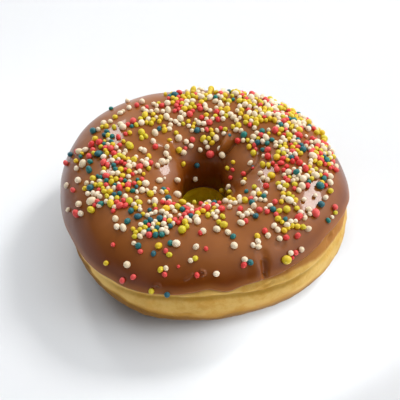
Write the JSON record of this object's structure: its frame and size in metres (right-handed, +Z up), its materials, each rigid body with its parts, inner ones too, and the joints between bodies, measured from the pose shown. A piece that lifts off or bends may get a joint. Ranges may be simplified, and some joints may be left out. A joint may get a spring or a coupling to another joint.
{
  "type": "sprinkle frosted doughnut",
  "caption": "Ring doughnut with chocolate icing over its upper half and round sugar sprinkles in four colours.",
  "frame": {"origin": "on the surface that the doughnut rests on, under the middle of the whole piece", "axes": "+Z up through the hole; -Y is the front, where the bare dough shows below the icing; +X is to the right seen from the front"},
  "size_m": [0.0913, 0.0873, 0.0349],
  "materials": {
    "dough": "golden fried crust, matte, paler round the belt and browner underneath",
    "icing": "set milk-chocolate icing, smooth with a soft gloss",
    "sprinkle_cream": "off-white sugar ball, satin",
    "sprinkle_yellow": "lemon-yellow sugar ball, satin",
    "sprinkle_red": "coral-red sugar ball, satin",
    "sprinkle_teal": "teal sugar ball, satin"
  },
  "bodies": {
    "root": {"dough": "dough", "icing": "icing"}
  },
  "joints": []
}
